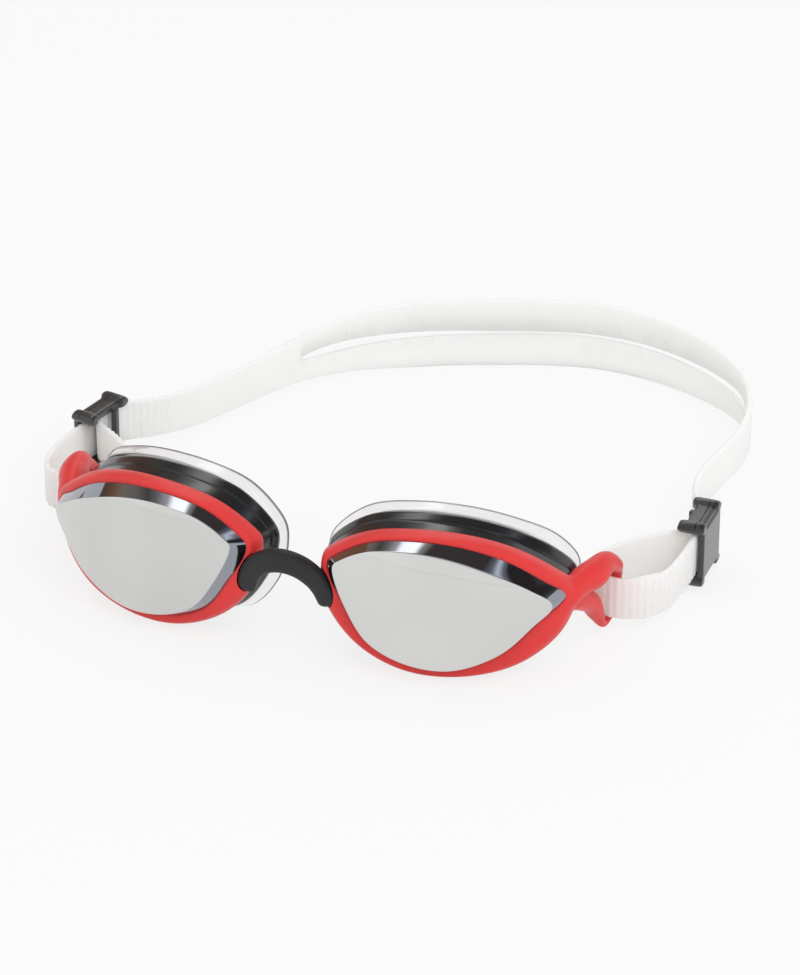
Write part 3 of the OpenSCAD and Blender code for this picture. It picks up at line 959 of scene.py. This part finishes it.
@dataclass
class Buckle:
    """A clip that holds the folded strap end to the main run."""

    side: Side
    at: Vector
    turn: float
    length: float = 17.0
    rail: float = 2.3
    wall: float = 1.8
    post_w: float = 1.8
    post_at: float = 2.2
    rail_in: float = 1.4
    rail_out: float = 0.6
    strap_w: float = 12.0
    strap_t: float = 1.5
    strap_gap: float = 0.3
    strap_z: float = 10.6
    plate_in: float = 0.9
    plate_edge: float = 0.45
    post_edge: float = 0.4
    lobe_over: float = 1.0
    squareness: float = 0.4
    end_share: float = 0.12
    groove_in: float = 0.9
    groove_out: float = 0.65
    groove_depth: float = 0.25
    groove_edge: float = 0.04
    groove_room: float = 3.0

    # The waist's ends in lobes from a rail's end, a rail's rings, and the skin's voxel size with its passes.
    WAIST = (1.25, 0.75)
    STATIONS = 60
    SIDES = 32
    FUSE = (0.15, 5)

    @property
    def layer(self) -> float:
        """Distance of each strap layer from the clip's middle."""
        return (self.strap_t + self.strap_gap) / 2

    @property
    def channel(self) -> float:
        """Inner half width of the clip."""
        return self.layer + self.strap_t / 2 + self.strap_gap

    @property
    def lobe(self) -> float:
        """Thickness of the round lobes at the rails' ends."""
        return self.rail + self.lobe_over

    @property
    def rail_z(self) -> float:
        """Half the height between the rails."""
        return self.strap_w / 2 + self.strap_gap

    def along(self, a: float, c: float) -> Vector:
        """Gives a point in plan of the clip's channel.

        Args:
            a: Distance towards the back.
            c: Distance across, towards +X.

        Returns:
            The point in plan.
        """
        t = math.radians(self.turn)
        return self.at + Vector((-math.sin(t), math.cos(t))) * a + Vector((math.cos(t), math.sin(t))) * c

    def to_place(self, p: Vector) -> Vector:
        """Moves a point from the clip's own axes, with its outer side at +X, to its place."""
        plan = self.along(p.y, p.x * self.side.value)
        return Vector((plan.x, plan.y, p.z + self.strap_z))

    def build(self) -> bpy.types.Object:
        """Makes the clip: outer plate, waisted rails with rounded lobes, inner post and parting groove.

        Returns:
            The finished clip.
        """
        half, long, high = self.channel + self.wall, self.length / 2, self.rail_z + self.rail / 2
        skin = Skin()
        skin.block(Vector((self.channel, self.plate_in - long, -high)),
                   Vector((half, long - self.plate_in, high)), self.plate_edge)
        skin.block(Vector((-half, self.post_at, -high)),
                   Vector((self.wall - half, self.post_at + self.post_w, high)), self.post_edge)
        for up in (-1, 1):
            skin.lattice([self.rail_ring(-long + self.length * i / self.STATIONS, up)
                          for i in range(self.STATIONS + 1)])
        made = skin.piece(f"{self.side.word}_black_clip", self.to_place)
        fuse(made, *self.FUSE)
        top = self.rail_z + self.rail
        groove = Skin()
        groove.block(Vector((self.channel - self.groove_in, -self.length, top - self.groove_depth)),
                     Vector((self.channel - self.groove_out, self.length, top + self.groove_room)),
                     self.groove_edge)
        cut(made, groove.piece("groove", self.to_place))
        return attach(SATIN_BLACK.dress(made, f"{self.side.word}_buckle"), f"{self.side.word}_buckle")

    def rail_ring(self, y: float, up: int) -> Points:
        """Gives one ring of a rail, which is slim at its waist and ends in round lobes.

        Args:
            y: Distance towards the back.
            up: 1 for the upper rail, -1 for the lower one.

        Returns:
            The ring's points in the clip's own axes.
        """
        half, long, lobe = self.channel + self.wall, self.length / 2, self.lobe
        waist = 1 - ease(long - self.WAIST[0] * lobe, long - self.WAIST[1] * lobe, abs(y))
        x0, x1 = -half + self.rail_in * waist, half - self.rail_out * waist
        over = max(0.0, abs(y) - long + lobe / 2) / (lobe / 2)
        tall = max(self.end_share, math.sqrt(max(0.0, 1 - over * over))) * (lobe - waist) / 2
        mid = Vector(((x0 + x1) / 2, y, up * (self.rail_z + (lobe - waist) / 2)))
        ring = []
        for k in range(self.SIDES):
            c, s = spread(self.squareness, math.tau * k / self.SIDES)
            ring.append(mid + Vector((c * (x1 - x0) / 2, 0, s * tall)))
        return ring


@dataclass
class Strap:
    """One length of silicone, folded round both ears and split in two strands at the back."""

    left: Buckle
    right: Buckle
    bar: Vector
    origin_y: float = 85.6
    width: float = 12.0
    thickness: float = 1.5
    split_w: float = 21.2
    split_gap: float = 4.2
    slit_gap: float = 1.2
    z: float = 10.6
    step: float = 0.34
    rib_pitch: float = 2.0
    rib_depth: float = 0.32
    rib_length: float = 126.0
    rib_fade: float = 6.0
    edge: float = 0.5
    tail_reach: float = 3.5
    rear_reach: float = 0.5
    tail_round: float = 1.2
    tail_in: float = 1.0
    blade: float = 3.0
    bend_right: float = -60.0
    bend_left: float = 66.0

    # Loops in plan from each ear's bar, and the back run in plan from the front of the goggles.
    LEFT_LOOP = ((13.7, 11), (12.8, 4.4), (9.4, -1.6), (3.8, -4.5), (-1.2, -4.7), (-5, -4), (-7.4, -1),
                 (-7.4, 4), (-5, 10.6), (-0.4, 17), (4.4, 21.8), (8.3, 25.4))
    RIGHT_LOOP = ((-10.2, 25), (-4.6, 21), (0.4, 16.8), (5.4, 10.8), (7.6, 4), (7.4, -1), (5, -3.8),
                  (1.2, -4.5), (-3.8, -5.2), (-10, -5), (-14.2, -1), (-15.8, 7))
    BACK = ((83.6, 87.5), (80.8, 94), (80, 104), (81.4, 117), (82.6, 130), (80.6, 144), (73.8, 157.5),
            (60.5, 168.5), (42, 176.5), (24.8, 178.4), (9.5, 175.4), (-4.3, 170.3), (-17.9, 164.7),
            (-30.8, 157.4), (-42.5, 147.5), (-52.4, 133.2), (-60.1, 114.8), (-68, 97.6), (-76.4, 86.6))
    # Distances along the clips, and the slit's ends and the widening as places along the route's points.
    TAIL = (5, -3)
    LEFT_HOLD = (-2, 3)
    RIGHT_HOLD = (3, -1)
    LEAD = 18
    SPLIT = (5, 15)
    WIDEN = (-1.67, 3.67)
    NARROW = (-2.67, 1.33)
    SLIT_POWERS = (1.5, 14)
    SLIT_ENDS = (0.012, 0.02)
    RIB_START = (2.0, 5.0)
    RIB_FORM = (-0.35, 0.55)
    RIB_SIDE = 0.6
    FINE = 24
    ARC = 4

    def route(self) -> Points:
        """Gives the strap's centre line in plan.

        Returns:
            Points from the left tail to the right tail.
        """
        tail = (*self.TAIL, -self.left.length / 2 - self.tail_reach)
        rear = self.left.length / 2 + self.rear_reach
        bar, layer = self.bar, self.left.layer
        points = [self.left.along(a, layer) for a in tail]
        points += [Vector((bar.x + x, bar.y + y)) for x, y in self.LEFT_LOOP]
        points += [self.left.along(a, -layer) for a in (*self.LEFT_HOLD, rear)]
        points += [Vector((x, y - self.origin_y)) for x, y in self.BACK]
        points += [self.right.along(a, layer) for a in (rear, *self.RIGHT_HOLD)]
        points += [Vector((x - bar.x, bar.y + y)) for x, y in self.RIGHT_LOOP]
        points += [self.right.along(a, -layer) for a in reversed(tail)]
        return points

    def stations(self) -> list[tuple[Vector, Vector, float, float]]:
        """Walks along the strap in even steps.

        Returns:
            Place in plan, unit side vector, distance from the left tail and place along the route's points.
        """
        line = open_curve(self.route(), self.FINE)
        run = [0.0]
        for a, b in zip(line, line[1:]):
            run.append(run[-1] + (b - a).length)
        out = []
        count = round(run[-1] / self.step)
        j = 0
        for i in range(count + 1):
            s = run[-1] * i / count
            while j < len(run) - 2 and run[j + 1] < s:
                j += 1
            t = (s - run[j]) / (run[j + 1] - run[j])
            before, after = line[max(j - 1, 0)], line[min(j + 2, len(line) - 1)]
            along = (line[j + 1] - line[j]).lerp((after - before) / 3, 0.5).normalized()
            out.append((line[j].lerp(line[j + 1], t), Vector((along.y, -along.x)), s, (j + t) / self.FINE))
        return out

    def rib(self, s: float, total: float) -> float:
        """Gives the depth of the strap's ribbing at one place.

        Args:
            s: Distance from the left tail.
            total: Length of the strap.

        Returns:
            Depth below the ribs' tops.
        """
        near = min(s, total - s)
        end = ease(self.rib_length - self.rib_fade, self.rib_length, near)
        zone = ease(*self.RIB_START, near) * (1 - end)
        return zone * self.rib_depth * ease(*self.RIB_FORM, math.cos(math.tau * near / self.rib_pitch))

    def build(self) -> bpy.types.Object:
        """Makes the finished strap: ribbed ends, rounded edges and a slit between the strands.

        Returns:
            The finished strap.
        """
        stations = self.stations()
        total = stations[-1][2]
        first, last = (self.LEAD + n for n in self.SPLIT)
        widen, narrow = [first + n for n in self.WIDEN], [last + n for n in self.NARROW]
        rows, slit = [], []
        for place, side, s, at in stations:
            grow = ease(*widen, at) * (1 - ease(*narrow, at))
            half = (self.width + (self.split_w - self.width) * grow) / 2
            end = min(1.0, min(s, total - s) / self.tail_round)
            half -= self.tail_in * (1 - math.sqrt(1 - (1 - end) ** 2))
            ring = self.section(half, self.thickness / 2, self.rib(s, total))
            rows.append(self.across(place, side, ring))
            f = (at - first) / (last - first)
            if 0 <= f <= 1:
                gap, deep = self.half_gap(f), self.blade
                ring = ((-gap, -deep), (gap, -deep), (gap, deep), (-gap, deep))
                slit.append(self.across(place, side, ring))
        skin = Skin()
        skin.lattice(rows)
        made = skin.piece("ribbed_strap")
        blade = Skin()
        blade.lattice(slit)
        cut(made, blade.piece("slit"))
        MILKY_SILICONE.dress(made, "strap")
        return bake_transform(made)

    def across(self, place: Vector, side: Vector, ring: Sequence[Sequence[float]]) -> Points:
        """Sets a cross-section upright on the strap's route.

        Args:
            place: Place in plan.
            side: Unit side vector in plan.
            ring: Points across the width and through the thickness.

        Returns:
            The ring's points.
        """
        return [Vector((place.x + side.x * v, place.y + side.y * v, self.z + u)) for u, v in ring]

    def half_gap(self, f: float) -> float:
        """Gives half the gap between the strands, widest near the ends of the slit.

        Args:
            f: Share of the slit's length, from 0 to 1.

        Returns:
            Half the gap.
        """
        g = abs(2 * f - 1)
        rise, fall = self.SLIT_POWERS
        gap = (self.slit_gap + (self.split_gap - self.slit_gap) * g ** rise * (1 - g ** fall)) / 2
        blunt, least = self.SLIT_ENDS
        return gap * math.sqrt(min(1.0, (1 - g) / blunt + least))

    def section(self, half: float, thick: float, dip: float) -> list[tuple[float, float]]:
        """Gives one cross-section of the strap.

        Args:
            half: Half the width.
            thick: Half the thickness.
            dip: Depth of the groove between ribs on the ribbed face.

        Returns:
            Points across the width and through the thickness.
        """
        flat = half - self.edge
        out = []
        for u0, v0, start in ((flat, thick - self.edge, 0.0), (-flat, thick - self.edge, 0.25),
                              (-flat, self.edge - thick, 0.5), (flat, self.edge - thick, 0.75)):
            for k in range(self.ARC):
                a = math.tau * (start + k / (self.ARC - 1) / 4)
                v = v0 + self.edge * math.sin(a)
                u = u0 + self.edge * math.cos(a)
                if v < 0:
                    v += dip * min(1.0, -v / (thick * self.RIB_SIDE))
                out.append((u, v))
        return out


@dataclass
class Studio:
    """Floor, lights, reflected cards, world and camera."""

    azimuth: float = 22.3
    elevation: float = 29.6
    distance: float = 1.196
    target: Vector = field(default_factory=lambda: Vector((0.0, -0.0606, 0.0252)))
    focal_px: float = 4514.0
    frame_px: float = 975.0
    aim_px: tuple[float, float] = (74.6, 31.7)
    sensor: float = 36.0
    far: float = 20.0
    floor_z: float = -0.0003
    floor_half: float = 3.0
    floor_grey: float = 0.9
    floor_glow: float = 0.975
    floor_white: float = 0.82
    world_light: float = 0.81
    front_light: float = 0.4
    front_way: Vector = field(default_factory=lambda: Vector((0.2, -0.6, 0.77)))
    front_fade: tuple[float, float] = (0.72, 0.92)
    key_at: Vector = field(default_factory=lambda: Vector((0.7, -0.8, 1.1)))
    key_size: float = 0.9
    key_power: float = 7.0

    # Corners of the cards, and the X and light of their bands.
    CEILING = ((-1.9, -0.2, 0.9), (1.9, -0.2, 0.9), (-1.9, 1.3, 0.9))
    CEILING_BANDS = (
        (-1.9, 0.3, 0.16, 0.1), (-1.66, 0.2, 0.14, 0.1), (-1.33, 0.38, 0.19, 0.1), (-1.05, 0.45, 0.34, 0.26),
        (-0.8, 0.34, 0.3, 0.27), (-0.62, 0.16, 0.14, 0.12), (-0.5, 0.35, 0.33, 0.31), (-0.4, 0.9, 0.9, 0.85),
        (-0.35, 3.0, 3.0, 2.9), (-0.23, 3.3, 3.3, 3.1), (-0.18, 0.7, 0.66, 0.6), (-0.1, 0.12, 0.095, 0.085),
        (0.42, 0.1, 0.085, 0.08), (0.5, 0.3, 0.33, 0.36), (0.56, 1.3, 1.4, 1.5), (0.62, 0.4, 0.42, 0.45),
        (0.7, 0.06, 0.05, 0.05), (1.05, 0.06, 0.05, 0.05), (1.5, 0.2, 0.2, 0.2), (1.9, 1.0, 1.0, 1.0))
    FLAG = ((-1.22, 0.76, 0.17), (-0.61, 1.28, 0.17), (-1.22, 0.76, 0.95))
    FLAG_BANDS = ((-1.22, 0.42, 0.2, 0.11), (-0.61, 0.15, 0.08, 0.06))

    def camera(self) -> None:
        """Sets up the camera at the photograph's viewing angle."""
        az, el = math.radians(self.azimuth), math.radians(self.elevation)
        back = Vector((math.sin(az) * math.cos(el), -math.cos(az) * math.cos(el), math.sin(el)))
        right = Vector((math.cos(az), math.sin(az), 0))
        up = back.cross(right)
        data = bpy.data.cameras.new("camera")
        data.sensor_width = self.sensor
        data.lens = self.sensor * self.focal_px / self.frame_px
        data.clip_end = self.far
        made = put("camera", data)
        made.location = self.target + back * self.distance
        view = -back + right * (self.aim_px[0] / self.focal_px) + up * (self.aim_px[1] / self.focal_px)
        made.rotation_euler = view.to_track_quat("-Z", "Y").to_euler()
        bpy.context.scene.camera = made

    def rays(self, tree: Tree) -> Socket:
        """Adds nodes that tell camera, glossy and transmission rays from the rest.

        Args:
            tree: Node tree of the world or the floor.

        Returns:
            A socket that is 1 for those rays and 0 for diffuse ones.
        """
        path = tree.nodes.new("ShaderNodeLightPath")
        total = path.outputs["Is Camera Ray"]
        for name in ("Is Glossy Ray", "Is Transmission Ray"):
            either = tree.nodes.new("ShaderNodeMath")
            either.operation = "MAXIMUM"
            tree.links.new(total, either.inputs[0])
            tree.links.new(path.outputs[name], either.inputs[1])
            total = either.outputs[0]
        return total

    def world(self) -> None:
        """Sets a white world at a plain level, which gloss sees darker up in front."""
        made = bpy.data.worlds.new("studio")
        made.use_nodes = True
        tree = made.node_tree
        where = tree.nodes.new("ShaderNodeTexCoord")
        ahead = tree.nodes.new("ShaderNodeVectorMath")
        ahead.operation = "DOT_PRODUCT"
        ahead.inputs[1].default_value = self.front_way
        fade = tree.nodes.new("ShaderNodeMapRange")
        for name, value in zip(("From Min", "From Max", "To Min", "To Max"),
                               (*self.front_fade, 1.0, self.front_light)):
            fade.inputs[name].default_value = value
        level = tree.nodes.new("ShaderNodeMix")
        level.inputs["A"].default_value = self.world_light
        tree.links.new(where.outputs["Generated"], ahead.inputs[0])
        tree.links.new(ahead.outputs["Value"], fade.inputs["Value"])
        tree.links.new(self.rays(tree), level.inputs["Factor"])
        tree.links.new(fade.outputs["Result"], level.inputs["B"])
        tree.links.new(level.outputs["Result"], tree.nodes["Background"].inputs["Strength"])
        tree.nodes["Background"].inputs["Color"].default_value = (1, 1, 1, 1)
        bpy.context.scene.world = made

    def floor(self) -> None:
        """Lays the pale floor, which keeps a faint shadow."""
        bm = bmesh.new()
        bmesh.ops.create_grid(bm, x_segments=1, y_segments=1, size=self.floor_half)
        bmesh.ops.translate(bm, verts=bm.verts, vec=(0, 0, self.floor_z))
        made = put_mesh("floor", bm)
        paint = bpy.data.materials.new("floor_paint")
        paint.use_nodes = True
        tree = paint.node_tree
        shader = tree.nodes["Principled BSDF"]
        shader.inputs["Base Color"].default_value = (*(self.floor_grey,) * 3, 1)
        shader.inputs["Roughness"].default_value = 1.0
        shader.inputs["Specular IOR Level"].default_value = 0.0
        glow = tree.nodes.new("ShaderNodeEmission")
        glow.inputs["Strength"].default_value = self.floor_glow
        share = tree.nodes.new("ShaderNodeMath")
        share.operation = "MULTIPLY"
        share.inputs[1].default_value = self.floor_white
        tree.links.new(self.rays(tree), share.inputs[0])
        both = tree.nodes.new("ShaderNodeMixShader")
        tree.links.new(share.outputs[0], both.inputs["Fac"])
        tree.links.new(shader.outputs[0], both.inputs[1])
        tree.links.new(glow.outputs[0], both.inputs[2])
        tree.links.new(both.outputs[0], tree.nodes["Material Output"].inputs["Surface"])
        made.data.materials.append(paint)

    def lamp(self, name: str, place: Vector, size: float, power: float) -> None:
        """Hangs one soft lamp that points at the goggles.

        Args:
            name: Name of the lamp.
            place: Its position in metres.
            size: Side of its square face in metres.
            power: Power in watts.
        """
        data = bpy.data.lights.new(name, "AREA")
        data.size = size
        data.energy = power
        made = put(name, data)
        made.location = place
        made.rotation_euler = (self.target - place).to_track_quat("-Z", "Y").to_euler()
        made.visible_glossy = False

    def card(self, name: str, corners: Sequence[Sequence[float]], bands: Sequence[Sequence[float]]) -> None:
        """Hangs a card in bands along X that only mirrors and gloss see.

        Args:
            name: Name of the card.
            corners: Its first corner, the next one along X and the one along its other side, in metres.
            bands: X and light in red, green and blue of each band, in order.
        """
        start, along, side = (Vector(c) for c in corners)
        bm = bmesh.new()
        grid = bmesh.ops.create_grid(bm, x_segments=1, y_segments=1, size=0.5)
        for vert in grid["verts"]:
            vert.co = start + (along - start) * (vert.co.x + 0.5) + (side - start) * (vert.co.y + 0.5)
        made = put_mesh(name, bm)
        paint = bpy.data.materials.new(f"{name}_bands")
        paint.use_nodes = True
        tree = paint.node_tree
        tree.nodes.remove(tree.nodes["Principled BSDF"])
        where = tree.nodes.new("ShaderNodeTexCoord")
        split = tree.nodes.new("ShaderNodeSeparateXYZ")
        share = tree.nodes.new("ShaderNodeMapRange")
        first, last = bands[0][0], bands[-1][0]
        share.inputs["From Min"].default_value = first
        share.inputs["From Max"].default_value = last
        glow = tree.nodes.new("ShaderNodeEmission")
        tree.links.new(where.outputs["Object"], split.inputs[0])
        tree.links.new(split.outputs["X"], share.inputs["Value"])
        stops = [((x - first) / (last - first), light) for x, *light in bands]
        tree.links.new(colour_ramp(tree, share.outputs["Result"], stops), glow.inputs["Color"])
        tree.links.new(glow.outputs[0], tree.nodes["Material Output"].inputs["Surface"])
        made.data.materials.append(paint)
        made.visible_camera = made.visible_diffuse = made.visible_transmission = made.visible_shadow = False

    def build(self) -> None:
        """Sets up everything round the goggles."""
        bpy.context.scene.view_settings.view_transform = "Standard"
        self.camera()
        self.world()
        self.floor()
        self.lamp("key", self.key_at, self.key_size, self.key_power)
        self.card("ceiling", self.CEILING, self.CEILING_BANDS)
        self.card("flag", self.FLAG, self.FLAG_BANDS)


# Where the bridge ends in the rim, and each clip's place outwards and back from the ear's bar, with its turn.
BRIDGE_SEAT = ((-32.8, -3), 1.1)
NOTCH_GAP = 0.4
LEFT_CLIP = (12.9, 31.4, 1.0)
RIGHT_CLIP = (11.7, 28.9, -12.0)


def main() -> None:
    """Builds the goggles and the studio, in order, and reports each piece."""
    logging.basicConfig(level=logging.INFO, format="%(name)s: %(message)s")
    Studio().build()
    pods = [Eyepiece(Side.LEFT), Eyepiece(Side.RIGHT)]
    seat, depth = BRIDGE_SEAT
    bridge = NoseBridge(pods[0].place(Vector(seat), depth))
    for pod in pods:
        pod.build_lens()
        pod.build_rim(bridge.solid(f"{pod.side.word}_notch", NOTCH_GAP))
        pod.build_cup()
        pod.build_seal()
    bridge.build()
    bar = pods[0].corner.xy + Vector((pods[0].ear_out, pods[0].ear_l))
    out, back, turn = LEFT_CLIP
    left = Buckle(Side.LEFT, Vector((bar.x + out, bar.y + back)), turn)
    out, back, turn = RIGHT_CLIP
    right = Buckle(Side.RIGHT, Vector((-bar.x - out, bar.y + back)), turn)
    left.build()
    right.build()
    Strap(left, right, bar).build()


if __name__ == "__main__":
    main()
